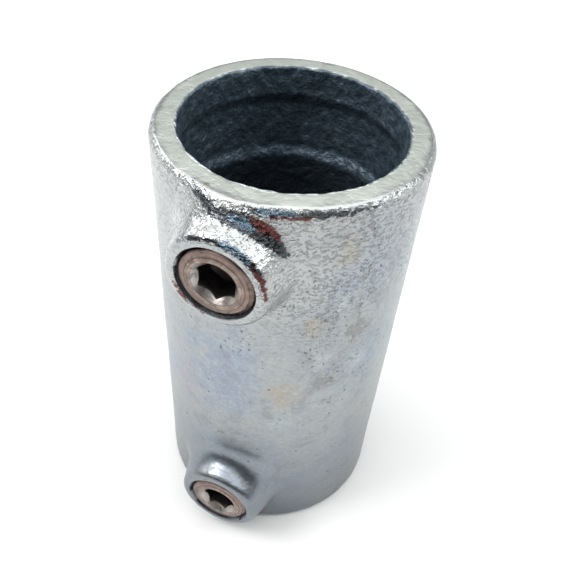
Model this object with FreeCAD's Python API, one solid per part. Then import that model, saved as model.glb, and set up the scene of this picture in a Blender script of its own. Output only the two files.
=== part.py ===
"""Straight sleeve coupling for 48.3 mm scaffold tube: an iron casting and two socket set screws.

The casting is a plain sleeve that joins two tubes end to end. Each half has one threaded boss, and a
set screw in it grips the tube. All lengths are in millimetres. The sleeve stands on its lower rim at
Z = 0 with its bore along +Z, and both bosses face -Y.

What belongs to a screw is made about Z, at its distance from the tube's axis, with -Z outward. The
function placed() then lays it along the screw's own axis.
"""
import FreeCAD, Part
import math
import os
from FreeCAD import Vector

# Sleeve
LENGTH = 115.0
OUTER_R = 30.5
BORE_R = 24.5              # clears a 48.3 mm tube by 0.35 mm all round
RIM_ROUND = 2.0            # outer edge of each rim
MOUTH_ROUND = 0.8          # inner edge of each rim
MOUTH_LAND = 7.0           # depth of the plain land inside each rim
RELIEF_R = 25.8            # cored recess that the screw breaks into
RELIEF_END = 22.0          # depth at which the recess starts to close
LEDGE_END = 24.5           # depth at which the bore is back to its own radius
STOP_R = 22.5              # low ring in the middle that the end of each tube meets
STOP_HALF = 2.0            # half of the ring's height
STOP_SLOPE = 1.0           # height of the slope on each side of it

# Screw bosses
BOSS_INSET = 15.6          # screw axis to the nearer rim
BOSS_FACE = 37.2           # tube axis to the boss's face
BOSS_FACE_R = 11.0
BOSS_BASE_R = 12.8         # where the boss meets the sleeve
BOSS_EDGE_ROUND = 1.0
BOSS_FILLET = 0.9
BOSS_ROOT = 26.4           # the boss's solid starts here, inside the sleeve's wall
SINK_R = 9.3               # mouth of the countersink

# Thread: 3/8 inch pipe thread, 19 turns to the inch, 55 degree flanks, right-handed
PITCH = 25.4 / 19
FLANK = math.radians(27.5)
THREAD_R = 16.662 / 2
THREAD_DEPTH = 0.640327 * PITCH
PITCH_R = THREAD_R - THREAD_DEPTH / 2
PLAY = 0.065               # each thread stands back from the basic profile by this much
RIDGE_ROOT = 0.12          # how far a ridge starts inside the surface that it stands on
RIDGE_TRIM = 0.05          # how far a screw's ridge stands out before its crest is turned down

# Set screws
SCREW_FACE = 37.0          # tube axis to the screw's outer face
SCREW_SPLIT = 27.0         # the cup point is the stretch inside this distance
SPLIT_GAP = 0.05
SCREW_TIP = 24.9           # just clear of the tube's bore
END_CHAMFER = 0.5
FACE_FLAT_R = 6.3          # the outer face is flat inside this radius and bevelled outside it
FACE_BEVEL = 0.35          # depth of that bevel
KEY_FLATS = 8.0
KEY_DEPTH = 6.0
KEY_CHAMFER_R = 5.2
KEY_CHAMFER_ANGLE = math.radians(50)
DRILL_ANGLE = math.radians(30)
CUP_NECK_R = 7.3
CUP_RIM_R = 5.4
CUP_HOLLOW_R = 4.7
CUP_DEPTH = 1.5

SCREW_Z = {"upper": LENGTH - BOSS_INSET, "lower": BOSS_INSET}
KEY_TURN = {"upper": 29.0, "lower": 8.0}      # degrees, the way each key socket happens to point

ORIGIN = Vector(0, 0, 0)
Z_AXIS = Vector(0, 0, 1)


def rounded_outline(corners):
    """A closed wire through (radius, height, rounding) corners, each rounded by a tangent arc."""
    points = [Vector(radius, 0, height) for radius, height, _ in corners]
    stretches = []
    for i, (point, (_, _, rounding)) in enumerate(zip(points, corners)):
        if not rounding:
            stretches.append((point, point, None))
            continue
        before = (points[i - 1] - point).normalize()
        after = (points[(i + 1) % len(points)] - point).normalize()
        half_angle = before.getAngle(after) / 2
        reach = rounding / math.tan(half_angle)
        start = point + before * reach
        end = point + after * reach
        middle = point + (before + after).normalize() * (rounding / math.sin(half_angle) - rounding)
        stretches.append((start, end, Part.Arc(start, middle, end).toShape()))
    edges = []
    for i, (start, end, arc) in enumerate(stretches):
        edges.append(Part.makeLine(stretches[i - 1][1], start))
        if arc:
            edges.append(arc)
    return Part.Wire(edges)


def turned(*corners):
    """A solid turned about Z from (radius, height) corners, or (radius, height, rounding) ones."""
    outline = rounded_outline([corner if len(corner) == 3 else (*corner, 0) for corner in corners])
    return Part.Face(outline).revolve(ORIGIN, Z_AXIS, 360)


def placed(shape, which):
    """Lay a shape made about Z along one screw's axis: its Z becomes Y, so -Z is outward."""
    laid = shape.copy()
    laid.rotate(ORIGIN, Vector(1, 0, 0), -90)
    laid.translate(Vector(0, 0, SCREW_Z[which]))
    return laid


def thread_ridge(low, high, inner_r, outer_r, play):
    """A right-handed helical ridge about Z that covers low to high.

    Both flanks stand back by play, or forward where play is negative. Every ridge starts a whole
    number of turns from Z = 0, so that a screw is in mesh with its hole.
    """
    def half_width(radius):
        return PITCH / 4 - play / math.cos(FLANK) - (radius - PITCH_R) * math.tan(FLANK)

    first_turn = math.floor(low / PITCH)
    turns = math.ceil(high / PITCH) - first_turn
    inner_half = half_width(inner_r)
    outer_half = half_width(outer_r)
    section = [Vector(inner_r, 0, -inner_half), Vector(outer_r, 0, -outer_half),
               Vector(outer_r, 0, outer_half), Vector(inner_r, 0, inner_half)]
    sweep = Part.BRepOffsetAPI.MakePipeShell(Part.makeLongHelix(PITCH, turns * PITCH, PITCH_R))
    sweep.setBiNormalMode(Z_AXIS)
    sweep.add(Part.makePolygon(section + section[:1]))
    sweep.build()
    sweep.makeSolid()
    ridge = sweep.shape()
    ridge.translate(Vector(0, 0, first_turn * PITCH))
    return ridge


def sleeve_tube():
    """The sleeve without its bosses, with the recess at each end and the stop ring in the middle."""
    stop_start = LENGTH / 2 - STOP_HALF - STOP_SLOPE
    half = [(OUTER_R, 0, RIM_ROUND), (BORE_R, 0, MOUTH_ROUND), (BORE_R, MOUTH_LAND, 0),
            (RELIEF_R, MOUTH_LAND, 0), (RELIEF_R, RELIEF_END, 0), (BORE_R, LEDGE_END, 0),
            (BORE_R, stop_start, 0), (STOP_R, stop_start + STOP_SLOPE, 0)]
    other_half = [(radius, LENGTH - height, rounding) for radius, height, rounding in reversed(half)]
    return turned(*half, *other_half)


def boss():
    """One conical boss, before its hole is made."""
    taper = (BOSS_BASE_R - BOSS_FACE_R) / (BOSS_FACE - OUTER_R)
    root_r = BOSS_BASE_R + taper * (OUTER_R - BOSS_ROOT)
    return turned((0, -BOSS_FACE), (BOSS_FACE_R, -BOSS_FACE, BOSS_EDGE_ROUND), (root_r, -BOSS_ROOT),
                  (0, -BOSS_ROOT))


def is_boss_seam(edge):
    """True for an edge along which a boss's cone meets the outside of the sleeve."""
    step = (edge.LastParameter - edge.FirstParameter) / 8
    samples = [edge.valueAt(edge.FirstParameter + step * i) for i in range(9)]
    curved = (samples[0] - samples[-1]).Length < 0.99 * edge.Length
    on_sleeve = all(abs(math.hypot(p.x, p.y) - OUTER_R) < 0.01 and p.y < 0 for p in samples)
    at_boss = any(all(math.hypot(p.x, p.z - z) < BOSS_BASE_R + 2 for p in samples)
                  for z in SCREW_Z.values())
    return curved and on_sleeve and at_boss


def threaded_hole():
    """What a boss's hole removes: first the countersunk drilling, then the helical groove."""
    crest_r = THREAD_R - THREAD_DEPTH + PLAY
    root_r = THREAD_R + PLAY
    outside = -BOSS_FACE - 1
    inside = -BORE_R + BOSS_EDGE_ROUND
    drilling = turned((0, outside), (SINK_R, outside), (SINK_R, -BOSS_FACE),
                      (crest_r, -BOSS_FACE + SINK_R - crest_r), (crest_r, inside), (0, inside))
    groove = thread_ridge(outside, inside, crest_r - RIDGE_ROOT, root_r, -PLAY)
    return drilling, groove


def casting():
    """The iron sleeve with both bosses, threaded."""
    body = sleeve_tube()
    for which in SCREW_Z:
        body = body.fuse(placed(boss(), which))
    body = body.makeFillet(BOSS_FILLET, [edge for edge in body.Edges if is_boss_seam(edge)])
    for which in SCREW_Z:
        for tool in threaded_hole():
            body = body.cut(placed(tool, which))
    return body


def key_socket(turn):
    """What the hexagonal key socket removes from a screw: prism, drilled floor and mouth chamfer."""
    outside = -SCREW_FACE - 1
    floor = -SCREW_FACE + KEY_DEPTH
    corner_r = KEY_FLATS / math.sqrt(3)
    angles = [math.radians(turn + 60 * i) for i in range(7)]
    hexagon = Part.makePolygon([Vector(corner_r * math.cos(a), corner_r * math.sin(a), outside)
                                for a in angles])
    prism = Part.Face(hexagon).extrude(Vector(0, 0, floor - outside))
    drill_r = KEY_FLATS / 2 - 0.1
    drill = turned((0, floor - 1), (drill_r, floor - 1), (drill_r, floor),
                   (0, floor + drill_r * math.tan(DRILL_ANGLE)))
    chamfer = turned((0, outside), (KEY_CHAMFER_R, outside), (KEY_CHAMFER_R, -SCREW_FACE),
                     (0, -SCREW_FACE + KEY_CHAMFER_R * math.tan(KEY_CHAMFER_ANGLE)))
    return prism.fuse(drill).fuse(chamfer)


def threaded_stretch(turn):
    """A set screw down to its cup point, with its key socket turned by so many degrees."""
    crest_r = THREAD_R - PLAY
    core_r = THREAD_R - THREAD_DEPTH - PLAY
    bevel_end = -SCREW_FACE + FACE_BEVEL
    inner_end = -SCREW_SPLIT - SPLIT_GAP
    core = turned((0, -SCREW_FACE), (FACE_FLAT_R, -SCREW_FACE), (core_r, bevel_end),
                  (core_r, inner_end), (0, inner_end))
    envelope = turned((0, bevel_end), (crest_r - END_CHAMFER, bevel_end),
                      (crest_r, bevel_end + END_CHAMFER), (crest_r, inner_end - END_CHAMFER),
                      (crest_r - END_CHAMFER, inner_end), (0, inner_end))
    ridge = thread_ridge(-SCREW_FACE - PITCH, inner_end + PITCH, core_r - RIDGE_ROOT,
                         crest_r + RIDGE_TRIM, PLAY)
    return core.fuse(ridge.common(envelope)).cut(key_socket(turn))


def cup_point():
    """The plain inner end of a set screw, with the hollow whose rim bites the tube."""
    shoulder = -SCREW_TIP - (CUP_NECK_R - CUP_RIM_R)
    return turned((0, -SCREW_SPLIT), (CUP_NECK_R, -SCREW_SPLIT), (CUP_NECK_R, shoulder),
                  (CUP_RIM_R, -SCREW_TIP), (CUP_HOLLOW_R, -SCREW_TIP), (0, -SCREW_TIP - CUP_DEPTH))


def main():
    os.makedirs("parts", exist_ok=True)
    nodes = {"sleeve_casting": casting()}
    for which, turn in KEY_TURN.items():
        nodes[which + "_set_screw"] = placed(threaded_stretch(turn), which)
        nodes[which + "_screw_cup_point"] = placed(cup_point(), which)
    for name, shape in nodes.items():
        print(name, "valid", shape.isValid(), "solids", len(shape.Solids), "mm3", round(shape.Volume, 1))
        shape.exportStep("parts/" + name + ".step")


main()
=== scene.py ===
"""The looks of a straight sleeve coupling: a hot-dip galvanised casting and two brown set screws.

Lengths are written in millimetres and become metres where a mesh is made. The sleeve stands on its
lower rim at Z = 0 with its bore along +Z, and both screw bosses face -Y. What belongs to a screw is
made about Z with -Z outward, and laid_along() turns it onto the screw's own axis.
"""

import math

import bmesh
import bpy
import numpy as np
from mathutils import Matrix, Vector, noise


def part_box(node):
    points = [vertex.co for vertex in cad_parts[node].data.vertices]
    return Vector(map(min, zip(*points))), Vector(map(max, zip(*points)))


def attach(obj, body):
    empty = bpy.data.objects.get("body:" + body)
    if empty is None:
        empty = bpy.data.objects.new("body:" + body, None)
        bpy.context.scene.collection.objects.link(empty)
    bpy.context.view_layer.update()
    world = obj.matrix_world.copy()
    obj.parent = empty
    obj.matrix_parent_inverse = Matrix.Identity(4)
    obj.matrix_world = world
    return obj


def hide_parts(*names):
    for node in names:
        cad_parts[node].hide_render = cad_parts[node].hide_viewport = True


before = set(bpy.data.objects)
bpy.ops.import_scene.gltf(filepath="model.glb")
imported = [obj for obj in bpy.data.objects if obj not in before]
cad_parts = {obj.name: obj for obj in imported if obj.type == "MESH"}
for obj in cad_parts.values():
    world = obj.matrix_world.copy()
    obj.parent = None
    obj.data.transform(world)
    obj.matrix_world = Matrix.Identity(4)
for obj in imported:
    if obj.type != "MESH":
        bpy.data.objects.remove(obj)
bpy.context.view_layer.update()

MM = 0.001


def node_span(node, axis):
    """Lowest and highest place of a CAD node along one axis, in millimetres."""
    low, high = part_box(node)
    return low[axis] / MM, high[axis] / MM


# Sizes that the frame gives
LENGTH = node_span("sleeve_casting", 2)[1]
OUTER_R = node_span("sleeve_casting", 0)[1]
BOSS_FACE = -node_span("sleeve_casting", 1)[0]
SCREW_Z = {which: sum(node_span(which + "_set_screw", 2)) / 2 for which in ("upper", "lower")}
SCREW_FACE = -node_span("upper_set_screw", 1)[0]
SCREW_SPLIT = -node_span("upper_set_screw", 1)[1]
SCREW_TIP = -node_span("upper_screw_cup_point", 1)[1]

# Sleeve, as designed
BORE_R = 24.5
RIM_ROUND = 2.0
MOUTH_ROUND = 0.7
MOUTH_LAND = 7.2
LAND_SLOPE = 2.6           # the land runs out into the wider bore over this length
RELIEF_R = 25.8
RELIEF_END = 22.0
LEDGE_END = 24.5
STOP_R = 22.5
STOP_HALF = 2.0
STOP_SLOPE = 1.0

# Bosses
BOSS_FACE_R = 11.0
BOSS_TAPER = math.atan(0.269)
BOSS_EDGE_ROUND = 1.5
BOSS_BLEND = (1.7, 5.2)    # how widely the sleeve's skin flows up the boss, below it and above it
SINK_R = 8.75
SINK_FLOOR_R = 8.5
SINK_FLOOR = 35.9

# Thread
PITCH = 25.4 / 19
THREAD_R = 16.662 / 2
THREAD_DEPTH = 0.640327 * PITCH
FLANK = math.radians(27.5)
PLAY = 0.065
CUTTER_OUT = 0.6           # how far a hole's cutter goes past the countersink's floor and into the bore
CUTTER_IN = 3

# Mesh fineness
AROUND = 288               # columns round the sleeve
SKIN_STEP = 0.66           # rows up the outside
ROWS_PER_PITCH = 14
SCREW_AROUND = 192
RIM_STEP = 0.45            # rows over the flat rim and down the bore
BORE_STEP = 0.7
MARCH_STEPS = 70           # how the skin is looked for: steps, and the share of the distance in each
MARCH_SHARE = 0.9
SKIN_CLEAR = 6.5           # the search starts this far outside the sleeve or in front of a boss
BOSS_CLEAR = 3
PATCH_REACH = 19.0         # a boss's patch goes this far above and below the screw's axis
PATCH_COLUMNS = 30         # and over so many columns to each side
FLANK_RINGS = 12           # rings of a boss's patch: up its flank, crowded towards the top, and over its face
FLANK_EASING = 1.6
FACE_RINGS = 21
WAIST_OUT = 1.15
LIP_OUT = 0.25
SHARP_DEG = 34             # edges sharper than this stay sharp


# ---------------------------------------------------------------- mesh helpers

def clean(mesh, drop_slivers=True):
    """Merge the places that patches share, and turn every face outward."""
    shape = bmesh.new()
    shape.from_mesh(mesh)
    bmesh.ops.remove_doubles(shape, verts=shape.verts, dist=1e-6)
    if drop_slivers:
        bmesh.ops.dissolve_degenerate(shape, edges=shape.edges, dist=1e-7)
    bmesh.ops.recalc_face_normals(shape, faces=shape.faces)
    shape.to_mesh(mesh)
    shape.free()


def mesh_object(name, verts_mm, faces, body, node, sharp_deg=None):
    """A smooth-shaded piece from millimetre vertices, which rides on a body and stands for a node."""
    mesh = bpy.data.meshes.new(name)
    mesh.from_pydata((np.asarray(verts_mm) * MM).tolist(), [], faces)
    piece = bpy.data.objects.new(name, mesh)
    bpy.context.scene.collection.objects.link(piece)
    clean(mesh)
    mesh.shade_smooth()
    if sharp_deg:
        mesh.set_sharp_from_angle(angle=math.radians(sharp_deg))
    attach(piece, body)
    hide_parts(node)
    return piece


def ring_faces(first, second, count):
    """Quads between two rings of so many vertices that start at these indices."""
    return [(first + j, first + (j + 1) % count, second + (j + 1) % count, second + j)
            for j in range(count)]


class Patchwork:
    """Vertices and faces gathered from several patches, which share places and are merged later."""

    def __init__(self):
        self.verts = []
        self.faces = []
        self.count = 0

    def add(self, points):
        start = self.count
        self.verts.append(np.asarray(points, float).reshape(-1, 3))
        self.count += len(self.verts[-1])
        return start

    def rings(self, rings, closed_end=False):
        """Add rings of equal length one after another, and close the last onto its middle if asked."""
        starts = [self.add(ring) for ring in rings]
        count = len(rings[0])
        for first, second in zip(starts, starts[1:]):
            self.faces += ring_faces(first, second, count)
        if closed_end:
            middle = self.add(np.mean(rings[-1], axis=0))
            self.faces += [(starts[-1] + j, starts[-1] + (j + 1) % count, middle) for j in range(count)]

    def all_verts(self):
        return np.concatenate(self.verts)


def lumps(points_mm, size, seed):
    """Smooth noise from -1 to 1 at each point, with lumps about this size in millimetres."""
    shift = Vector((seed * 17.3, seed * 5.1, -seed * 9.7))
    return np.array([noise.noise(Vector(p) / size + shift) for p in points_mm.tolist()])


# ---------------------------------------------------------------- the casting's outside

def length2(a, b):
    return np.sqrt(a * a + b * b)


def rounded_corner(a, b, radius):
    """Distance to the corner where two faces meet at right angles, rounded by radius."""
    a = a + radius
    b = b + radius
    return length2(np.maximum(a, 0), np.maximum(b, 0)) + np.minimum(np.maximum(a, b), 0) - radius


def skin_distance(p):
    """Signed distance in millimetres from points to the casting's outer skin, bosses blended in."""
    x, y, z = p[:, 0], p[:, 1], p[:, 2]
    beyond_rim = np.abs(z - LENGTH / 2) - LENGTH / 2
    sleeve = rounded_corner(length2(x, y) - OUTER_R, beyond_rim, RIM_ROUND)
    skin = sleeve
    for screw_z in SCREW_Z.values():
        out = -y
        from_axis = length2(x, z - screw_z)
        flank = (from_axis - BOSS_FACE_R - (BOSS_FACE - out) * math.tan(BOSS_TAPER)) * math.cos(BOSS_TAPER)
        top = out - BOSS_FACE
        boss = np.maximum(rounded_corner(flank, top, BOSS_EDGE_ROUND), OUTER_R / 2 - out)
        above = np.clip(0.1 + (z - screw_z) / (from_axis + 1), 0, 1)
        blend = BOSS_BLEND[0] + (BOSS_BLEND[1] - BOSS_BLEND[0]) * above
        near = np.maximum(blend - np.abs(skin - boss), 0) / blend
        skin = np.minimum(skin, boss) - near * near * blend / 4
    return np.maximum(skin, beyond_rim)


def onto_skin(points, inward):
    """March points inward along their own directions until they meet the skin."""
    p = np.array(points, float)
    for _ in range(MARCH_STEPS):
        p = p + inward * (skin_distance(p) * MARCH_SHARE)[:, None]
    return p


def arc(centre, radius, start_deg, end_deg, steps):
    """Places and outward directions along an arc in (radius, height), both ends included."""
    angles = np.radians(np.linspace(start_deg, end_deg, steps + 1))
    return [(centre[0] + radius * math.cos(a), centre[1] + radius * math.sin(a), math.cos(a), math.sin(a))
            for a in angles]


def run(start, end, step, normal):
    """Evenly spaced places from start to end in (radius, height), the first left out."""
    count = max(1, round(math.dist(start, end) / step))
    return [(start[0] + (end[0] - start[0]) * i / count, start[1] + (end[1] - start[1]) * i / count, *normal)
            for i in range(1, count + 1)]


def outer_stations():
    """(radius, height, normal) up the outside, from one rim's rounding to the other's."""
    return run((OUTER_R, RIM_ROUND), (OUTER_R, LENGTH - RIM_ROUND), SKIN_STEP, (1, 0))


def upper_rim_stations():
    """From the outside over the upper rim into the mouth of the bore."""
    corner = (OUTER_R - RIM_ROUND, LENGTH - RIM_ROUND)
    flat = run((corner[0], LENGTH), (BORE_R + MOUTH_ROUND, LENGTH), RIM_STEP, (0, 1))
    mouth = arc((BORE_R + MOUTH_ROUND, LENGTH - MOUTH_ROUND), MOUTH_ROUND, 90, 180, 4)
    return arc(corner, RIM_ROUND, 0, 90, 9)[1:] + flat + mouth[1:]


def bore_stations():
    """Down the bore from the upper mouth to the lower one."""
    stop = LENGTH / 2 - STOP_HALF - STOP_SLOPE
    down = [(BORE_R, MOUTH_ROUND), (BORE_R, MOUTH_LAND), (RELIEF_R, MOUTH_LAND + LAND_SLOPE),
            (RELIEF_R, RELIEF_END), (BORE_R, LEDGE_END), (BORE_R, stop), (STOP_R, stop + STOP_SLOPE)]
    corners = [(r, LENGTH - z) for r, z in down] + [(r, z) for r, z in reversed(down)]
    stations = []
    for start, end in zip(corners, corners[1:]):
        stations += run(start, end, BORE_STEP, (-1, 0))
    return stations


def lower_rim_stations():
    """From the lower mouth of the bore over the lower rim to the outside."""
    return [(r, LENGTH - z, nr, -nz) for r, z, nr, nz in reversed(upper_rim_stations())][1:]


def column_angles():
    return np.radians(-90) + np.arange(AROUND) * 2 * math.pi / AROUND


def around(stations):
    """Rings of points and directions for stations, one row each."""
    a = column_angles()
    table = np.array(stations)
    r, z, nr, nz = (table[:, i][:, None] for i in range(4))
    flat = np.ones_like(a)[None, :]
    points = np.stack([r * np.cos(a), r * np.sin(a), z * flat], -1)
    normals = np.stack([nr * np.cos(a), nr * np.sin(a), nz * flat], -1)
    return points, normals


def boss_rings(border, screw_z):
    """Rings from the border of a boss's patch in to the floor of its countersink."""
    centre = np.array([0, screw_z])
    flat = border[:, [0, 2]]
    angle = np.arctan2(flat[:, 1] - screw_z, flat[:, 0])
    way = np.stack([np.cos(angle), np.sin(angle)], 1)
    waist_r = BOSS_FACE_R + WAIST_OUT
    waist = centre + way * waist_r
    rings = []
    for share in np.linspace(0, 1, FLANK_RINGS + 1)[1:]:
        eased = 1 - (1 - share) ** FLANK_EASING
        rings.append(flat + (waist - flat) * eased)
    flat_r = BOSS_FACE_R - BOSS_EDGE_ROUND
    for radius in np.concatenate([np.linspace(waist_r, flat_r, FACE_RINGS + 1)[1:],
                                  [(flat_r + SINK_R + LIP_OUT) / 2]]):
        rings.append(centre + way * radius)
    solved = []
    for ring in rings:
        start = np.stack([ring[:, 0], np.full(len(ring), -BOSS_FACE - BOSS_CLEAR), ring[:, 1]], 1)
        solved.append(onto_skin(start, np.array([[0, 1.0, 0]])))
    lip = [(SINK_R + LIP_OUT, 0.0), (SINK_R + 0.1, 0.04), (SINK_R - 0.03, 0.14), (SINK_R - 0.13, 0.3)]
    sink_depth = BOSS_FACE - SINK_FLOOR
    for radius, drop in lip + [(SINK_FLOOR_R, sink_depth), (SINK_FLOOR_R / 2, sink_depth)]:
        ring = centre + way * radius
        solved.append(np.stack([ring[:, 0], np.full(len(ring), -BOSS_FACE + drop), ring[:, 1]], 1))
    return solved


def casting_mesh():
    """The casting's closed surface without its threaded holes, as vertices and faces."""
    outer = outer_stations()
    stations = outer + upper_rim_stations() + bore_stations() + lower_rim_stations()
    points, normals = around(stations)
    rows = len(stations)
    on_skin = np.array([nr >= 0 and r > BORE_R + MOUTH_ROUND + 0.01 for r, z, nr, nz in stations])
    outside = points[on_skin].reshape(-1, 3)
    ways = normals[on_skin].reshape(-1, 3)
    points[on_skin] = onto_skin(outside + ways * SKIN_CLEAR, -ways).reshape(-1, AROUND, 3)

    heights = np.array([z for _, z, _, _ in outer])
    skipped = np.zeros((rows, AROUND), bool)
    work = Patchwork()
    work.add(points.reshape(-1, 3))
    for screw_z in SCREW_Z.values():
        inside = np.nonzero((heights > screw_z - PATCH_REACH) & (heights < screw_z + PATCH_REACH))[0]
        low, high = inside[0], inside[-1]
        left, right = -PATCH_COLUMNS, PATCH_COLUMNS
        skipped[low:high, [c % AROUND for c in range(left, right)]] = True
        border = ([(low, c) for c in range(left, right)] + [(row, right) for row in range(low, high)] +
                  [(high, c) for c in range(right, left, -1)] + [(row, left) for row in range(high, low, -1)])
        border_points = np.array([points[row, c % AROUND] for row, c in border])
        work.rings([border_points] + boss_rings(border_points, screw_z), closed_end=True)
    for row in range(rows):
        after = (row + 1) % rows
        for c in range(AROUND):
            if not skipped[row, c]:
                beside = (c + 1) % AROUND
                work.faces.append((row * AROUND + c, row * AROUND + beside,
                                   after * AROUND + beside, after * AROUND + c))
    return work.all_verts(), work.faces


# ---------------------------------------------------------------- threads

def circle(angle, radius, height):
    """A ring about Z; the radius and the height may change round it."""
    flat = np.ones_like(angle)
    return np.stack([radius * np.cos(angle), radius * np.sin(angle), height * flat], 1)


def thread_radius(angle, height, play):
    """Radius of a thread's surface at places about Z; play is taken off it, or added if negative."""
    phase = np.mod(height / PITCH - angle / (2 * math.pi) + 0.5, 1) - 0.5
    middle_r = THREAD_R - THREAD_DEPTH / 2
    reach = PITCH / 4 - np.abs(phase) * PITCH - play / math.cos(FLANK)
    return np.clip(middle_r + reach / math.tan(FLANK), THREAD_R - THREAD_DEPTH - play, THREAD_R - play)


def thread_rings(angle, low, high, play, envelope=None):
    """Rings of a threaded wall from low to high, kept inside an envelope radius if one is given."""
    rings = []
    for height in np.arange(low, high, PITCH / ROWS_PER_PITCH).tolist() + [high]:
        radius = thread_radius(angle, np.full_like(angle, height), play)
        if envelope:
            radius = np.minimum(radius, envelope(height))
        rings.append(circle(angle, radius, height))
    return rings


def laid_along(points, which):
    """Lay points made about Z along a screw's axis: Z becomes Y."""
    p = np.asarray(points)
    return np.stack([p[:, 0], p[:, 2], SCREW_Z[which] - p[:, 1]], 1)


def hole_cutter(which):
    """A closed threaded plug that cuts one boss's hole."""
    angle = np.arange(SCREW_AROUND) * 2 * math.pi / SCREW_AROUND
    rings = thread_rings(angle, -SINK_FLOOR - CUTTER_OUT, -BORE_R + CUTTER_IN, -PLAY)
    work = Patchwork()
    work.rings([laid_along(ring, which) for ring in reversed(rings)], closed_end=True)
    work.rings([laid_along(ring, which) for ring in rings[:2]][::-1])
    work.rings([laid_along(rings[-1], which)], closed_end=True)
    mesh = bpy.data.meshes.new("cutter")
    mesh.from_pydata((work.all_verts() * MM).tolist(), [], work.faces)
    clean(mesh, drop_slivers=False)
    cutter = bpy.data.objects.new("cutter_" + which, mesh)
    bpy.context.scene.collection.objects.link(cutter)
    return cutter


def cut_holes(piece):
    """Cut both threaded holes out of the casting, and leave no modifier behind."""
    for which in SCREW_Z:
        cutter = hole_cutter(which)
        step = piece.modifiers.new("hole", "BOOLEAN")
        step.operation = "DIFFERENCE"
        step.solver = "EXACT"
        step.object = cutter
        result = bpy.data.meshes.new_from_object(
            piece.evaluated_get(bpy.context.evaluated_depsgraph_get()))
        piece.modifiers.remove(step)
        old = piece.data
        piece.data = result
        result.name = piece.name
        bpy.data.meshes.remove(old)
        bpy.data.objects.remove(cutter)


# ---------------------------------------------------------------- the set screws

KEY_FLATS = 8.0
KEY_DEPTH = 6.0
KEY_CHAMFER_R = 5.2
KEY_CHAMFER = math.radians(50)
KEY_DRILL_POINT = math.radians(30)
KEY_TURN = {"upper": 29.0, "lower": 8.0}
FACE_FLAT_R = 6.3
BEVEL_R = THREAD_R - PLAY - 0.5
BEVEL_DROP = 0.35
CUP_NECK_R = 7.3
CUP_RIM_R = 5.5
CUP_HOLLOW_R = 4.75


def hexagon_radius(angle, turn):
    """Distance from the axis to the key socket's wall, its corners very slightly rounded."""
    off_flat = np.mod(angle - turn, math.pi / 3) - math.pi / 6
    return np.minimum(KEY_FLATS / 2 / np.cos(off_flat), KEY_FLATS / math.sqrt(3) - 0.06)


def screw_rings(turn_deg):
    """Rings from the floor of the key socket, out over the face and down the thread to its inner end."""
    turn = math.radians(turn_deg)
    angle = turn + np.arange(SCREW_AROUND) * 2 * math.pi / SCREW_AROUND
    hexagon = hexagon_radius(angle, turn)
    face = -SCREW_FACE
    floor = face + KEY_DEPTH
    drill_r = KEY_FLATS / 2 - 0.1
    chamfer_end = face + (KEY_CHAMFER_R - hexagon) * math.tan(KEY_CHAMFER)
    rings = [circle(angle, 0.4, floor + drill_r * math.tan(KEY_DRILL_POINT) - 0.2),
             circle(angle, drill_r, floor), circle(angle, hexagon, floor)]
    for share in np.linspace(0, 1, 8)[1:]:
        rings.append(circle(angle, hexagon, floor + (chamfer_end - floor) * share))
    face_line = [(KEY_CHAMFER_R - 0.08, 0.09), (KEY_CHAMFER_R + 0.04, 0.015), (KEY_CHAMFER_R + 0.2, 0),
                 (5.75, 0), (FACE_FLAT_R - 0.14, 0.0), (FACE_FLAT_R, 0.02), (FACE_FLAT_R + 0.12, 0.1),
                 (FACE_FLAT_R + 0.24, 0.13), (7.0, 0.17), (7.4, 0.24), (BEVEL_R - 0.1, 0.31), (BEVEL_R, 0.36)]
    for radius, drop in face_line:      # past the core only the thread's ridge goes on outward
        height = face + drop
        rings.append(circle(angle, np.minimum(radius, thread_radius(angle, height, PLAY)), height))

    crest_r = THREAD_R - PLAY
    outer_end = face + BEVEL_DROP
    inner_end = -SCREW_SPLIT

    def envelope(height):
        return crest_r + min(0, height - outer_end - 0.5, inner_end - 0.5 - height)

    rings += thread_rings(angle, outer_end + 0.06, inner_end, PLAY, envelope)
    return rings


def set_screw(which):
    work = Patchwork()
    rings = screw_rings(KEY_TURN[which])
    work.rings(list(reversed(rings)), closed_end=True)
    work.rings(rings[-1:], closed_end=True)
    piece = mesh_object(which + "_socket_set_screw", laid_along(work.all_verts(), which), work.faces,
                        which + "_screw", which + "_set_screw", sharp_deg=SHARP_DEG)
    mark_screw(piece, which)
    return piece


def cup_point(which):
    angle = np.arange(SCREW_AROUND) * 2 * math.pi / SCREW_AROUND
    tip = -SCREW_TIP
    line = [(CUP_NECK_R, -SCREW_SPLIT + 0.05), (CUP_NECK_R, tip - 1.95), (CUP_NECK_R - 0.08, tip - 1.82),
            (CUP_RIM_R, tip - 0.1), (CUP_RIM_R - 0.1, tip),
            (CUP_HOLLOW_R, tip), (CUP_HOLLOW_R - 0.15, tip - 0.08), (0.6, tip - 1.35)]
    rings = [circle(angle, r, height) for r, height in line]
    work = Patchwork()
    work.rings(rings, closed_end=True)
    work.rings(rings[:1], closed_end=True)
    piece = mesh_object(which + "_cup_point", laid_along(work.all_verts(), which), work.faces,
                        which + "_screw_travel", which + "_screw_cup_point",
                        sharp_deg=SHARP_DEG)
    mark_screw(piece, which)
    return piece


def mark_screw(piece, which):
    """Store each vertex's distance from the screw's axis, in millimetres, and where the key socket is."""
    places = vertex_places(piece.data)
    radius = length2(places[:, 0], places[:, 2] - SCREW_Z[which])
    below_face = places[:, 1] + SCREW_FACE
    store(piece.data, "axis_distance", radius)
    store(piece.data, "key_socket", (radius < 4.8) * np.clip((below_face - 1.2) / 0.6, 0, 1))


def vertex_places(mesh):
    """Vertex places in millimetres."""
    flat = np.empty(len(mesh.vertices) * 3)
    mesh.vertices.foreach_get("co", flat)
    return flat.reshape(-1, 3) / MM


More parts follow.
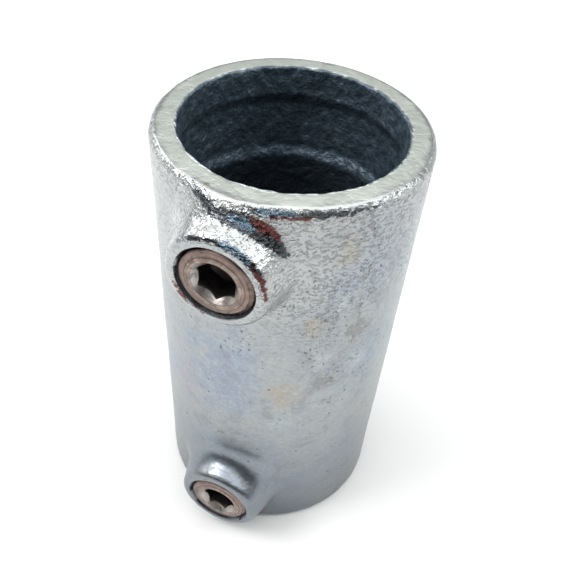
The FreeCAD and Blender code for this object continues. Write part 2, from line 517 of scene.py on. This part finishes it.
def store(mesh, name, values):
    mesh.attributes.new(name, "FLOAT", "POINT").data.foreach_set("value", np.asarray(values, np.float32))


# ---------------------------------------------------------------- materials

class NodeMaker:
    """Short ways to add the nodes that the finishes and the studio use."""

    def __init__(self, tree, places):
        self.tree = tree
        self.places = tree.nodes.new("ShaderNodeTexCoord").outputs[places]

    def add(self, kind, inputs=None, **settings):
        node = self.tree.nodes.new("ShaderNode" + kind)
        for key, value in settings.items():
            setattr(node, key, value)
        for key, value in (inputs or {}).items():
            self.put(node.inputs[key], value)
        return node

    def put(self, socket, value):
        if isinstance(value, bpy.types.NodeSocket):
            self.tree.links.new(value, socket)
        else:
            socket.default_value = value

    def math(self, operation, a, b=0.0, clamp=False):
        return self.add("Math", {0: a, 1: b}, operation=operation, use_clamp=clamp).outputs[0]

    def times(self, a, b):
        return self.math("MULTIPLY", a, b)

    def vector(self, operation, a, b=(0, 0, 0), out=0):
        return self.add("VectorMath", {0: a, 1: b}, operation=operation).outputs[out]

    def between(self, value, low, high):
        """0 below low, 1 above high, smooth in between. Low may be above high."""
        return self.add("MapRange", {"Value": value, "From Min": low, "From Max": high},
                        interpolation_type="SMOOTHSTEP").outputs["Result"]

    def scaled(self, value, low, high):
        """A value from 0 to 1, stretched to run from low to high."""
        return self.add("MapRange", {"Value": value, "To Min": low, "To Max": high}).outputs["Result"]

    def mix(self, share, a, b):
        node = self.add("Mix", data_type="RGBA")
        self.put(node.inputs[0], share)
        self.put(node.inputs[6], a)
        self.put(node.inputs[7], b)
        return node.outputs[2]


class Finish(NodeMaker):
    """A material, with textures that lie on the object in millimetres."""

    def __init__(self, name):
        self.material = bpy.data.materials.new(name)
        self.material.use_nodes = True
        super().__init__(self.material.node_tree, "Object")
        self.surface = self.tree.nodes["Principled BSDF"]

    def attribute(self, name):
        return self.add("Attribute", attribute_name=name).outputs["Fac"]

    def noise(self, size_mm, detail=2.0, roughness=0.5, distortion=0.0, shift=0.0):
        """Noise from about 0.2 to 0.8 with features of this size."""
        moved = self.vector("ADD", self.places, (shift, shift * 0.7, -shift))
        return self.add("TexNoise", {"Vector": moved, "Scale": 1 / (size_mm * MM), "Detail": detail,
                                     "Roughness": roughness, "Distortion": distortion}).outputs["Fac"]

    def pits(self, spacing_mm, share, radius, shift=0.0):
        """1 in small round pits: about this share of the cells of a Voronoi pattern holds one."""
        moved = self.vector("ADD", self.places, (shift, -shift, shift * 0.3))
        noisy = self.add("TexNoise", {"Vector": moved, "Scale": 0.7 / (spacing_mm * MM), "Detail": 2.0})
        swirl = self.vector("SUBTRACT", noisy.outputs["Color"], (0.5, 0.5, 0.5))
        swirl = self.vector("MULTIPLY", swirl, (spacing_mm * MM * 1.6,) * 3)
        swirled = self.vector("ADD", moved, swirl)
        cells = self.add("TexVoronoi", {"Vector": swirled, "Scale": 1 / (spacing_mm * MM)})
        chosen = self.add("SeparateColor", {0: cells.outputs["Color"]}).outputs[0]
        pit = self.between(cells.outputs["Distance"], radius, radius * 0.5)
        return self.times(pit, self.math("LESS_THAN", chosen, share))

    def patch(self, place_mm, half_size_mm, ragged, raggedness=2.0, softness=0.4):
        """1 about a place on the object, falling to 0 at this half size, with a ragged edge."""
        moved = self.vector("SUBTRACT", self.places, tuple(v * MM for v in place_mm))
        reached = self.vector("DIVIDE", moved, tuple(v * MM for v in half_size_mm))
        distance = self.add("VectorMath", {0: reached}, operation="LENGTH").outputs["Value"]
        pushed = self.math("ADD", distance, self.times(self.math("SUBTRACT", ragged, 0.5), raggedness))
        return self.between(pushed, 1.0, 1.0 - softness)

    def bump(self, height, depth_mm, strength=1.0, under=None):
        inputs = {"Height": height, "Distance": depth_mm * MM, "Strength": strength}
        if under:
            inputs["Normal"] = under
        return self.add("Bump", inputs).outputs["Normal"]


def rgb(r, g, b):
    return (r, g, b, 1.0)


def on_sleeve(azimuth_deg, height, radius=OUTER_R):
    """A place on the sleeve, this far round from the front (-Y) towards +X."""
    azimuth = math.radians(azimuth_deg)
    return (radius * math.sin(azimuth), -radius * math.cos(azimuth), height)


# Where the zinc is clouded: place, half size, raggedness, softness, strength and colour
BEIGE = rgb(0.385, 0.34, 0.265)
GREY = rgb(0.215, 0.215, 0.205)
PALE = rgb(0.43, 0.475, 0.49)
MAUVE = rgb(0.39, 0.335, 0.37)
BLUISH = rgb(0.31, 0.37, 0.48)
GREENISH = rgb(0.42, 0.485, 0.455)
CLOUDS = [(on_sleeve(25, 60), (7, 5, 7), 1.7, 0.8, 1.0, BEIGE),
          (on_sleeve(45, 104), (3.5, 4, 6), 1.7, 0.9, 0.8, BEIGE),
          (on_sleeve(35, 84), (3.5, 4, 5), 1.7, 0.9, 0.9, BEIGE),
          (on_sleeve(55, 80), (5, 4, 6), 1.7, 0.9, 0.8, GREY),
          (on_sleeve(45, 64), (7, 5, 4), 1.7, 0.9, 0.85, GREY),
          (on_sleeve(45, 90), (2.5, 3, 4), 1.7, 0.9, 0.9, PALE),
          (on_sleeve(40, 72), (4, 3, 4), 1.7, 0.9, 0.95, PALE),
          (on_sleeve(60, 68), (3, 5, 6), 1.7, 0.9, 0.85, PALE),
          (on_sleeve(25, 48), (5, 4, 4), 1.7, 0.9, 0.8, PALE),
          (on_sleeve(-25, 54), (6, 5, 16), 1.2, 0.9, 0.55, MAUVE),
          (on_sleeve(5, 72), (8, 4, 22), 1.2, 0.9, 0.45, BLUISH),
          (on_sleeve(80, 66), (6, 9, 45), 1.2, 0.9, 0.55, GREENISH)]


# Painted reflections and rust on the skin: dark and bluish reflections, and reddish marks that are
# partly painted reflection and partly rust, as strokes of (x, y, z, half width) points, which follow
# rings that the shape has. The marks lie where the boss flows into the sleeve, on the rounded edge of
# its face, round its countersink and along the rim's rounding.
FOOT_R = BOSS_FACE_R + 2.4
EDGE_R = BOSS_FACE_R - 0.15
LIP_R = SINK_R + 0.55


def boss_stroke(radius, start_deg, end_deg, half_widths):
    """A stroke on the skin round the upper boss, at angles about its axis from +X towards +Z."""
    angles = np.radians(np.linspace(start_deg, end_deg, len(half_widths)))
    before_boss = np.full(len(angles), -BOSS_FACE - BOSS_CLEAR)
    above = np.stack([radius * np.cos(angles), before_boss, SCREW_Z["upper"] + radius * np.sin(angles)], 1)
    places = onto_skin(above, np.array([[0, 1.0, 0]]))
    return [(*place, half) for place, half in zip(places.tolist(), half_widths)]


def rim_stroke(up_deg, start_deg, end_deg, half_widths):
    """A stroke this far up the upper rim's rounding, between azimuths as in on_sleeve()."""
    radius = OUTER_R - RIM_ROUND * (1 - math.cos(math.radians(up_deg)))
    height = LENGTH - RIM_ROUND * (1 - math.sin(math.radians(up_deg)))
    azimuths = np.linspace(start_deg, end_deg, len(half_widths))
    return [(*on_sleeve(azimuth, height, radius), half) for azimuth, half in zip(azimuths, half_widths)]


# Painted reflection: dark strokes at the boss's foot, on its face's rounded edge and along the rim's
# rounding.
DARK_REFLECTION_STROKES = [boss_stroke(FOOT_R, 30, 100, (0.8, 1.5, 1.9, 1.6, 1.2)) + rim_stroke(30, -15, -15, (0.5,)),
        rim_stroke(30, -5, 55, (0.4, 0.6, 0.7, 0.6, 0.2)),
        boss_stroke(EDGE_R, 0, 120, (0.2, 0.6, 0.6, 0.5, 0.4))]
# Painted reflection: bluish strokes at the boss's foot, on the rim's rounding and on its face's edge.
BLUE_REFLECTION_STROKES = [boss_stroke(FOOT_R, 85, 65, (0.6, 1.1, 0.8)),
         rim_stroke(30, 10, 25, (0.4, 0.8, 0.4)),
         boss_stroke(EDGE_R, 85, 50, (0.4, 0.8, 0.5))]
# Partly painted reflection and partly rust: reddish strokes at the boss's foot, on the rim's rounding, on its
# face's edge and round its countersink.
RED_REFLECTION_AND_RUST_STROKES = [boss_stroke(FOOT_R + 0.8, 70, 45, (0.5, 1.2, 0.9, 0.4)),
        rim_stroke(10, 15, 30, (0.3, 0.3)),
        boss_stroke(EDGE_R, 45, 0, (0.3, 0.5, 0.4)),
        boss_stroke(LIP_R, 200, 255, (0.3, 0.5, 0.2))]
PAINTED_REFLECTIONS_AND_RUST = {"dark_reflection": (DARK_REFLECTION_STROKES, 0.9, rgb(0.03, 0.034, 0.042)),
          "blue_reflection": (BLUE_REFLECTION_STROKES, 0.85, rgb(0.13, 0.19, 0.245)),
          "red_reflection_and_rust": (RED_REFLECTION_AND_RUST_STROKES, 0.9, rgb(0.13, 0.042, 0.036))}


def beyond_strokes(places, strokes):
    """How far places lie outside the nearest stroke's edge, in millimetres; negative inside."""
    nearest = np.full(len(places), 9.0)
    for stroke in strokes:
        for start, end in zip(stroke, stroke[1:]):
            a, b = np.array(start[:3]), np.array(end[:3])
            share = np.clip((places - a) @ (b - a) / ((b - a) @ (b - a)), 0, 1)
            away = np.linalg.norm(places - a - share[:, None] * (b - a), axis=1)
            nearest = np.minimum(nearest, away - start[3] - share * (end[3] - start[3]))
    return nearest


def galvanised():
    """Hot-dip zinc on a rough casting: clouded pale grey and pits, painted dark and bluish reflections,
    reddish marks that are partly painted reflection and partly rust, and painted shade in the dents, the
    holes, the bore and towards the lower end.
    """
    s = Finish("galvanised_casting")
    bore = s.attribute("bore")
    rim = s.attribute("rim")
    grain = s.attribute("grain")

    cloud = s.noise(26, 3, 0.5, 0.3, shift=3.1)
    mottle = s.noise(5.5, 5, 0.62, 0.6)
    fleck = s.noise(1.0, 4, 0.7, 0.4)
    ragged = s.noise(3.0, 5, 0.7, 0.5, shift=1.3)
    torn = s.noise(0.9, 4, 0.7, 0.6, shift=2.3)
    broken = s.between(s.noise(2.2, 5, 0.7, 0.6, shift=9.0), 0.32, 0.58)
    zinc = s.mix(s.between(cloud, 0.38, 0.62), rgb(0.29, 0.335, 0.40), rgb(0.355, 0.38, 0.395))
    zinc = s.mix(s.times(s.between(mottle, 0.5, 0.66), 0.5), zinc, rgb(0.42, 0.425, 0.40))
    zinc = s.mix(s.times(s.between(mottle, 0.48, 0.36), 0.5), zinc, rgb(0.235, 0.25, 0.27))
    for place, half, raggedness, softness, strength, colour in CLOUDS:
        share = s.times(s.patch(place, half, ragged, raggedness, softness), broken)
        zinc = s.mix(s.times(share, strength), zinc, colour)
    zinc = s.mix(s.times(s.between(fleck, 0.48, 0.7), 0.35), zinc, rgb(0.22, 0.23, 0.25))
    zinc = s.mix(s.times(s.between(fleck, 0.48, 0.3), 0.45), zinc, rgb(0.47, 0.50, 0.53))

    height = s.add("SeparateXYZ", {0: s.places}).outputs[2]
    # Painted shade: the zinc is darker towards the lower end, below 60 mm.
    zinc = s.mix(s.times(s.between(height, 0.060, 0.0), 0.75), zinc, rgb(0.15, 0.165, 0.185))
    zinc = s.mix(s.times(grain, 0.5), zinc, rgb(0.52, 0.53, 0.52))

    speckled = s.math("ADD", s.noise(8, 2, 0.5, shift=7.0), s.times(grain, 0.10))
    pitted_side = s.patch(on_sleeve(45, 80), (16, 16, 36), cloud, 1.0, 0.6)
    speckled = s.math("ADD", speckled, s.times(pitted_side, 0.16))
    share = s.scaled(s.between(speckled, 0.52, 0.80), 0.0, 0.26)
    pit = s.math("MAXIMUM", s.pits(0.95, share, 0.42), s.pits(0.5, share, 0.42, shift=0.013))
    pit = s.times(pit, s.scaled(rim, 1.0, 0.0))
    zinc = s.mix(s.times(pit, 0.5), zinc, rgb(0.11, 0.10, 0.085))
    stretched = s.vector("MULTIPLY", s.places, (0.75, 0.75, 1.35))
    hammered = s.add("TexNoise", {"Vector": stretched, "Scale": 1 / (0.9 * MM), "Detail": 3.0,
                                  "Roughness": 0.55, "Distortion": 0.3}).outputs["Fac"]
    coarse = s.attribute("coarse")
    dent = s.between(hammered, 0.50, 0.64)
    # Painted shade: the hammered dents are darkened, most where the skin is coarse.
    zinc = s.mix(s.times(s.times(dent, coarse), 0.28), zinc, rgb(0.10, 0.10, 0.095))

    rim_tone = s.mix(s.between(mottle, 0.4, 0.7), rgb(0.52, 0.56, 0.52), rgb(0.60, 0.635, 0.595))
    zinc = s.mix(rim, zinc, rim_tone)
    rim_spot = s.patch(on_sleeve(-12, LENGTH, OUTER_R - RIM_ROUND), (0.9, 0.6, 1), torn, 1.5, 0.5)
    zinc = s.mix(s.times(rim_spot, 0.8), zinc, rgb(0.26, 0.19, 0.12))
    # Painted reflections: the dark and bluish strokes, and the reddish ones that are partly rust, mixed into
    # the zinc with torn edges.
    for name, (_, strength, colour) in PAINTED_REFLECTIONS_AND_RUST.items():
        edge = s.math("ADD", s.attribute(name), s.times(s.math("SUBTRACT", torn, 0.5), 2.8))
        zinc = s.mix(s.times(s.between(edge, 0.15, -0.15), strength), zinc, colour)
    # Painted shade: the threaded holes are coloured near black.
    zinc = s.mix(s.attribute("hole"), zinc, rgb(0.035, 0.038, 0.042))

    # Painted shade: the bore is coloured dark blue-grey, and near black past the ledges, deeper in.
    painted_bore_shade = s.mix(s.between(s.noise(2.4, 4, 0.6, shift=2.0), 0.38, 0.68), rgb(0.068, 0.098, 0.13),
                 rgb(0.122, 0.168, 0.212))
    past_ledge = s.between(s.math("ABSOLUTE", s.math("SUBTRACT", height, LENGTH / 2 * MM)),
                           (LENGTH / 2 - LEDGE_END + 1.5) * MM, (LENGTH / 2 - LEDGE_END - 1.5) * MM)
    painted_bore_shade = s.mix(s.times(past_ledge, 0.75), painted_bore_shade, rgb(0.02, 0.03, 0.04))
    zinc = s.mix(s.math("SUBTRACT", bore, s.attribute("hole"), clamp=True), zinc, painted_bore_shade)

    rough = s.math("SUBTRACT", s.scaled(mottle, 0.26, 0.38), s.times(grain, 0.17))
    rough = s.math("ADD", rough, s.times(pit, 0.25))
    rough = s.math("ADD", rough, s.times(rim, 0.2))
    rough = s.math("ADD", rough, s.times(bore, 0.16), clamp=True)

    s.put(s.surface.inputs["Base Color"], zinc)
    s.put(s.surface.inputs["Roughness"], rough)
    s.put(s.surface.inputs["Metallic"], s.scaled(bore, 0.92, 0.6))
    sunk = s.math("SUBTRACT", s.math("SUBTRACT", 0.55, hammered), s.times(dent, 0.35))
    relief = s.bump(s.times(sunk, coarse), 0.26)
    relief = s.bump(s.times(s.noise(1.7, 3, 0.55, 0.2, shift=4.0), bore), 0.75, 1.0, relief)
    s.put(s.surface.inputs["Normal"], s.bump(s.math("SUBTRACT", 1.0, pit), 0.14, 0.9, relief))
    return s.material


def bronze():
    """Turned steel with a brown coating: turning marks on its face and a darker, reddish bevel."""
    s = Finish("brown_coated_steel")
    radius = s.attribute("axis_distance")
    marks = s.add("TexNoise", {"W": radius, "Scale": 2.6, "Detail": 4.0, "Roughness": 0.7},
                  noise_dimensions="1D").outputs["Fac"]
    patches = s.noise(2.6, 4, 0.65, 0.5)
    brown = s.mix(s.between(patches, 0.36, 0.66), rgb(0.195, 0.15, 0.13), rgb(0.39, 0.325, 0.29))
    brown = s.mix(s.times(s.between(marks, 0.46, 0.6), 0.5), brown, rgb(0.15, 0.105, 0.09))
    line = s.times(s.between(radius, FACE_FLAT_R - 0.05, FACE_FLAT_R + 0.1),
                   s.between(radius, FACE_FLAT_R + 0.45, FACE_FLAT_R + 0.25))
    brown = s.mix(s.times(line, 0.5), brown, rgb(0.05, 0.035, 0.03))
    bevel = s.times(s.between(radius, FACE_FLAT_R, FACE_FLAT_R + 0.3), s.between(patches, 0.35, 0.6))
    brown = s.mix(s.times(bevel, 0.4), brown, rgb(0.17, 0.08, 0.065))
    chamfer = s.between(radius, KEY_CHAMFER_R + 0.05, KEY_CHAMFER_R - 0.1)
    brown = s.mix(s.times(chamfer, 0.6), brown, rgb(0.56, 0.53, 0.51))
    # Painted shade: the key socket is coloured near black inside.
    brown = s.mix(s.times(s.attribute("key_socket"), 0.85), brown, rgb(0.05, 0.044, 0.042))
    grime = s.between(s.noise(3.2, 5, 0.7, 0.8, shift=6.0), 0.5, 0.66)
    brown = s.mix(s.times(grime, 0.6), brown, rgb(0.055, 0.042, 0.038))
    s.put(s.surface.inputs["Base Color"], brown)
    s.put(s.surface.inputs["Roughness"], s.scaled(patches, 0.2, 0.44))
    s.surface.inputs["Metallic"].default_value = 0.95
    s.put(s.surface.inputs["Normal"], s.bump(marks, 0.10, 0.8, s.bump(patches, 0.12, 0.7)))
    return s.material


def floor_paper():
    s = Finish("pale_floor")
    tone = s.mix(s.noise(60, 2), rgb(0.74, 0.74, 0.74), rgb(0.77, 0.77, 0.77))
    s.put(s.surface.inputs["Base Color"], tone)
    s.surface.inputs["Roughness"].default_value = 0.9
    s.surface.inputs["Specular IOR Level"].default_value = 0.1
    return s.material


# ---------------------------------------------------------------- stage, light and camera

VIEW_AZIMUTH = 19.25       # degrees
VIEW_ELEVATION = 44.72
VIEW_ROLL = 5.33
VIEW_DISTANCE = 142.67     # camera to the aim point
AIM = (10.37, -22.65, 89.95)
LENS = 42.12

# The studio: brightness of the room at (sine of height, tone) stops, leaning towards the front, and a
# dark flag in front of the object, an oval of directions, that gives the bright metal something dark
# to reflect
SKY = [(0.0, 0.42), (0.45, 0.58), (0.56, 0.95), (0.68, 1.1), (0.78, 2.1), (1.0, 2.2)]
SKY_LEAN = 4               # degrees
SKY_TINT = (0.99, 1.0, 0.99)
FLAG_MIDDLE = (17, 18)     # azimuth and elevation, degrees
FLAG_HALF = (78, 31)
FLAG_TONE = rgb(0.025, 0.03, 0.04)
BACKDROP = rgb(0.9, 0.9, 0.9)
LIGHT_AIM = (0, 0, 0.08)   # metres


def make_floor():
    mesh = bpy.data.meshes.new("floor")
    side = 4.0
    shape = bmesh.new()
    bmesh.ops.create_grid(shape, x_segments=8, y_segments=8, size=side)
    shape.to_mesh(mesh)
    shape.free()
    floor = bpy.data.objects.new("floor", mesh)
    bpy.context.scene.collection.objects.link(floor)
    mesh.materials.append(floor_paper())


def view_axes():
    """The photograph's right, up and back directions."""
    a, e, roll = (math.radians(v) for v in (VIEW_AZIMUTH, VIEW_ELEVATION, VIEW_ROLL))
    back = Vector((math.sin(a) * math.cos(e), -math.cos(a) * math.cos(e), math.sin(e)))
    level = Vector((math.cos(a), math.sin(a), 0))
    upright = back.cross(level)
    right = level * math.cos(roll) + upright * math.sin(roll)
    return right, back.cross(right), back


def make_camera():
    right, up, back = view_axes()
    data = bpy.data.cameras.new("camera")
    data.lens = LENS
    data.sensor_width = 36
    data.clip_start = 0.005
    data.clip_end = 20
    camera = bpy.data.objects.new("camera", data)
    bpy.context.scene.collection.objects.link(camera)
    camera.matrix_world = Matrix.Translation(Vector(AIM) * MM + back * VIEW_DISTANCE * MM) @ Matrix(
        (right, up, back)).transposed().to_4x4()
    bpy.context.scene.camera = camera


def softbox(name, place, width, height, power, tint=(1, 1, 1)):
    data = bpy.data.lights.new(name, "AREA")
    data.shape = "RECTANGLE"
    data.size = width
    data.size_y = height
    data.energy = power
    data.color = tint
    light = bpy.data.objects.new(name, data)
    bpy.context.scene.collection.objects.link(light)
    light.location = place
    light.rotation_euler = (Vector(place) - Vector(LIGHT_AIM)).to_track_quat("Z", "Y").to_euler()


def make_light():
    world = bpy.data.worlds.new("studio")
    bpy.context.scene.world = world
    world.use_nodes = True
    s = NodeMaker(world.node_tree, "Generated")
    lean = math.radians(SKY_LEAN)
    height = s.vector("DOT_PRODUCT", s.places, (0, -math.sin(lean), math.cos(lean)), out=1)
    sky = s.add("ValToRGB", {0: height})
    for _ in SKY[2:]:
        sky.color_ramp.elements.new(0.5)
    for element, (place, tone) in zip(sky.color_ramp.elements, SKY):
        element.position = place
        element.color = rgb(*(tone * tint for tint in SKY_TINT))
    x, y, z = s.add("SeparateXYZ", {0: s.places}).outputs
    azimuth = s.math("ARCTAN2", x, s.times(y, -1.0))
    elevation = s.math("ARCSINE", z)
    off_middle = [s.math("SUBTRACT", angle, math.radians(middle))
                  for angle, middle in zip((azimuth, elevation), FLAG_MIDDLE)]
    across, up = [s.math("DIVIDE", off, math.radians(half)) for off, half in zip(off_middle, FLAG_HALF)]
    from_middle = s.add("VectorMath", {0: s.add("CombineXYZ", {0: across, 1: up}).outputs[0]},
                        operation="LENGTH").outputs["Value"]
    room = s.mix(s.between(from_middle, 1.12, 0.84), sky.outputs[0], FLAG_TONE)
    seen = s.add("LightPath").outputs["Is Camera Ray"]
    s.put(s.tree.nodes["Background"].inputs["Color"], s.mix(seen, room, BACKDROP))
    softbox("overhead_left", (-0.30, -0.22, 0.50), 0.22, 0.22, 1.6, (1, 0.99, 0.97))
    softbox("window_left", (-0.54, 0.10, 0.36), 0.35, 0.30, 0.7, (1, 0.995, 0.98))
    softbox("window_right", (0.50, 0.23, 0.36), 0.25, 0.25, 0.4)
    softbox("overhead_right", (0.42, 0.10, 0.42), 0.14, 0.2, 0.6, (0.97, 1, 0.98))


# ---------------------------------------------------------------- the scene

def make_casting():
    verts, faces = casting_mesh()
    piece = mesh_object("sleeve_body", verts, faces, "sleeve", "sleeve_casting")
    roughen(piece.data)
    cut_holes(piece)
    mark_zones(piece.data)
    return piece


def bore_share(places):
    """1 inside the bore and 0 outside it, changing at the ragged edge of its mouth."""
    radius = length2(places[:, 0], places[:, 1])
    depth = LENGTH / 2 - np.abs(places[:, 2] - LENGTH / 2)
    ragged = lumps(places, 1.3, 6) * 0.3 + lumps(places, 4, 7) * 0.2
    inside = np.clip((BORE_R + MOUTH_ROUND * 0.75 + ragged - radius) / 0.25, 0, 1)
    deep = (depth > MOUTH_ROUND + 0.3) & (radius < RELIEF_R + 1)
    return np.where(deep, 1, inside)


def roughen(mesh):
    """Push the casting's vertices in and out as cast iron and dipped zinc are, inside the CAD box."""
    places = vertex_places(mesh)
    normals = np.empty(len(places) * 3)
    mesh.vertices.foreach_get("normal", normals)
    normals = normals.reshape(-1, 3)
    bore = bore_share(places)
    near_end = np.clip((np.abs(places[:, 2] - LENGTH / 2) - (LENGTH / 2 - 16)) / 14, 0, 1)
    skin = (lumps(places, 16, 1) * 0.10 + lumps(places, 6, 2) * 0.05 +
            lumps(places, 2.2, 3) * 0.07 * (0.25 + near_end) - 0.14)
    core = lumps(places, 4.5, 4) * 0.24 + lumps(places, 1.8, 5) * 0.22
    flat = np.abs(normals[:, 2]) > 0.9
    depth = np.where(flat, np.minimum(skin, 0) * 0.3, np.minimum(skin, 0))
    depth = depth * (1 - bore) + core * bore
    places = places + normals * depth[:, None]
    places[:, 1] = np.maximum(places[:, 1], -BOSS_FACE)
    places[:, 2] = np.clip(places[:, 2], 0, LENGTH)
    mesh.vertices.foreach_set("co", (places * MM).ravel())
    mesh.update()


def mark_zones(mesh):
    """Store where the holes, bore, flat rims, grainy or coarse skin, and the strokes of painted reflection
    and rust are, for the material.
    """
    places = vertex_places(mesh)
    radius = length2(places[:, 0], places[:, 1])
    depth = LENGTH / 2 - np.abs(places[:, 2] - LENGTH / 2)
    from_axis = np.min([length2(places[:, 0], places[:, 2] - z) for z in SCREW_Z.values()], axis=0)
    in_hole = (from_axis < SINK_R + 0.02) & (places[:, 1] < -BORE_R + 1) & (places[:, 1] > -BOSS_FACE + 0.25)
    bore = bore_share(places)
    store(mesh, "hole", in_hole)
    store(mesh, "bore", np.where(in_hole, 1, np.where(places[:, 1] < -OUTER_R + 2, 0, bore)))
    edge = OUTER_R - RIM_ROUND + 0.5 + lumps(places, 2.5, 8) * 0.7
    store(mesh, "rim", (depth < 0.6) * np.clip((edge - radius) / 0.8, 0, 1) * (1 - bore))
    boss = np.clip(1 - (from_axis - 12) / 9, 0, 1) * (places[:, 1] < 0)
    upper = np.clip((places[:, 2] - 70) / 38, 0, 1)
    rim_edge = np.clip((places[:, 2] - LENGTH + 6) / 4, 0, 1)
    store(mesh, "grain", np.clip(upper * 0.6 + boss * upper * 0.7 + rim_edge * 0.5, 0, 1) * (1 - bore))
    flat = depth < 0.3
    side = np.clip(0.4 + 0.9 * places[:, 0] / OUTER_R, 0.3, 0.9)
    coarse = np.where(flat, 0.22, 0.12 + upper * 1.4 * side + rim_edge * 0.7 - boss * upper * side * 0.5)
    store(mesh, "coarse", coarse * (1 - bore))
    for name, (strokes, _, _) in PAINTED_REFLECTIONS_AND_RUST.items():
        store(mesh, name, beyond_strokes(places, strokes))


make_camera()
make_light()
make_floor()
casting = make_casting()
casting.data.materials.append(galvanised())
screw_finish = bronze()
for which in SCREW_Z:
    for piece in (set_screw(which), cup_point(which)):
        piece.data.materials.append(screw_finish)
bpy.context.scene.view_settings.view_transform = "Standard"
